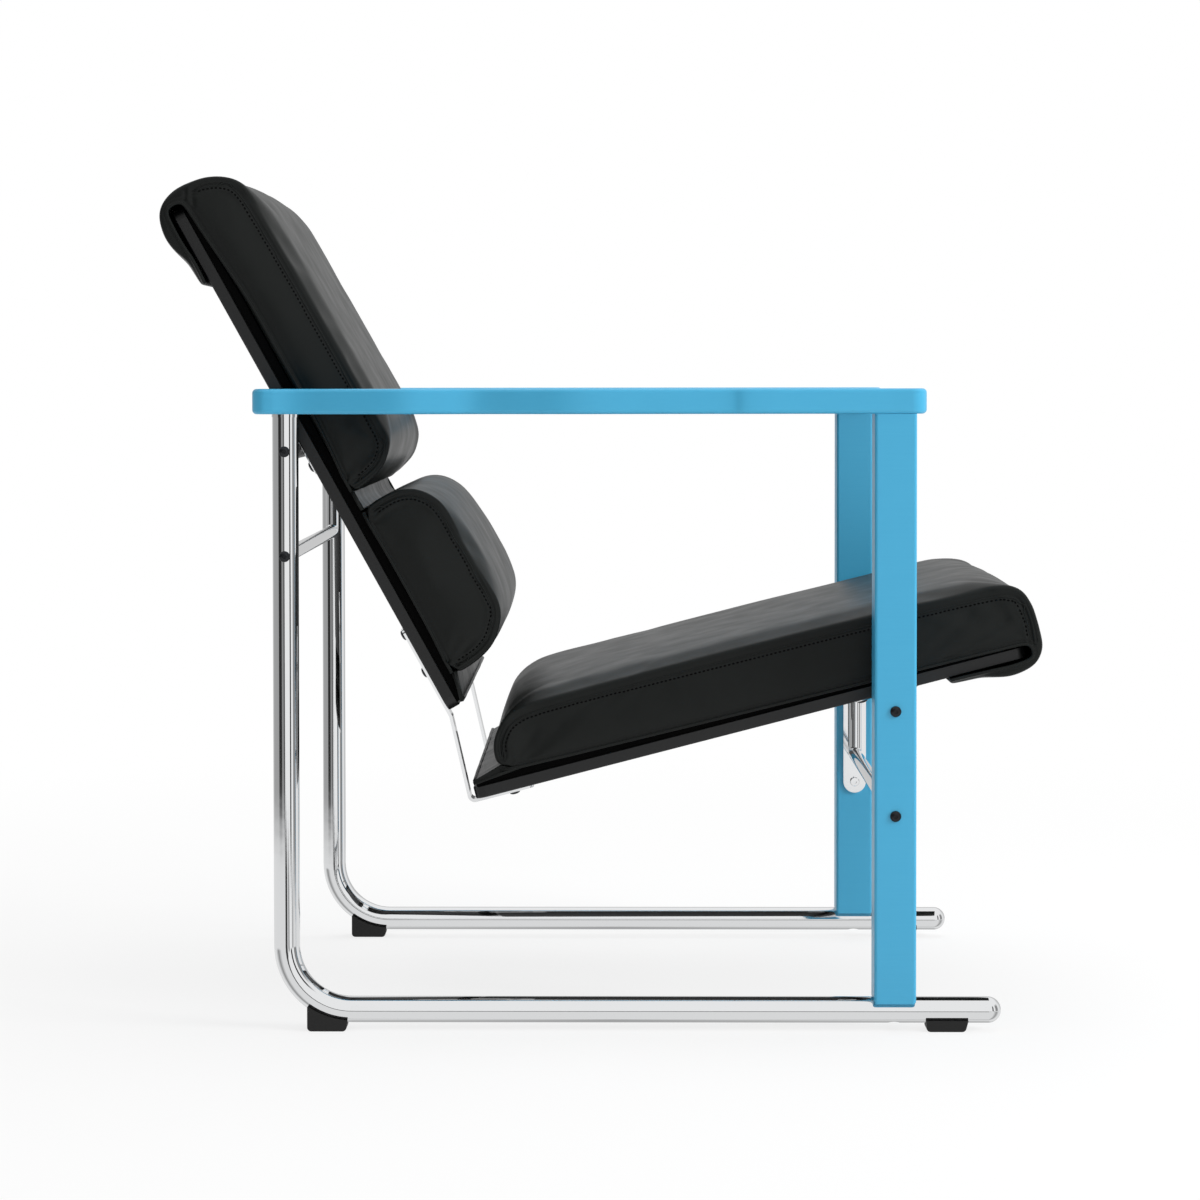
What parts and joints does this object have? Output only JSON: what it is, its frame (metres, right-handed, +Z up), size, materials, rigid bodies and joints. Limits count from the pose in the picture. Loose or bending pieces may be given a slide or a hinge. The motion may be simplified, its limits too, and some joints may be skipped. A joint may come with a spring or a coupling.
{
  "type": "lounge chair",
  "caption": "Lounge chair with chromed tube side frames, light blue wooden posts and wavy armrests, and black leather pads on boards that hang between cross rods.",
  "frame": {"origin": "on the floor under the middle of the chair's overall box", "axes": "+X is the way the sitter looks, +Y is the sitter's left, +Z is up"},
  "size_m": [0.8541, 0.64, 0.8189],
  "materials": {
    "tube_chrome": "mirror-bright chrome plating on steel",
    "blue_lacquered_wood": "light blue semi-gloss lacquer on solid wood",
    "black_leather": "smooth black leather with a soft sheen",
    "black_lining": "dull black felt over thin foam",
    "black_board": "black stained plywood, satin",
    "black_rubber": "dull black moulded rubber",
    "black_paint": "satin black powder coat on steel tube",
    "black_screws": "blackened steel",
    "plain_steel": "plain zinc-plated steel",
    "dowel_wood": "bare beech"
  },
  "bodies": {
    "root": {"right_side_tube": "tube_chrome", "left_side_tube": "tube_chrome", "right_tube_end_cap": "tube_chrome", "left_tube_end_cap": "tube_chrome", "right_tube_top_plug": "tube_chrome", "left_tube_top_plug": "tube_chrome", "armrest_studs": "plain_steel", "right_rear_foot": "black_rubber", "left_rear_foot": "black_rubber", "right_front_foot": "black_rubber", "left_front_foot": "black_rubber", "right_front_post": "blue_lacquered_wood", "left_front_post": "blue_lacquered_wood", "post_bolts": "plain_steel", "right_armrest": "blue_lacquered_wood", "left_armrest": "blue_lacquered_wood", "armrest_dowels": "dowel_wood", "right_post_plate": "tube_chrome", "left_post_plate": "tube_chrome", "plate_bolts": "tube_chrome", "rear_cross_rod": "tube_chrome", "front_cross_rod": "tube_chrome", "rear_cross_tube": "black_paint", "front_cross_tube": "black_paint", "cross_tube_inserts": "plain_steel", "rear_frame_screws": "black_screws", "front_frame_screws": "black_screws", "back_hanger_plates": "tube_chrome", "seat_hanger_plates": "tube_chrome", "hanger_screws": "black_screws", "right_link_strap": "tube_chrome", "left_link_strap": "tube_chrome", "strap_screws": "black_screws", "back_board": "black_board", "seat_board": "black_board", "board_sleeves": "plain_steel", "back_lining": "black_lining", "seat_lining": "black_lining", "upper_back_pad": "black_leather", "lower_back_pad": "black_leather", "seat_pad": "black_leather", "back_bridge_strip": "black_leather", "back_end_strip": "black_leather", "seat_end_strip": "black_leather", "back_top_pocket": "black_leather", "seat_front_pocket": "black_leather"}
  },
  "joints": []
}
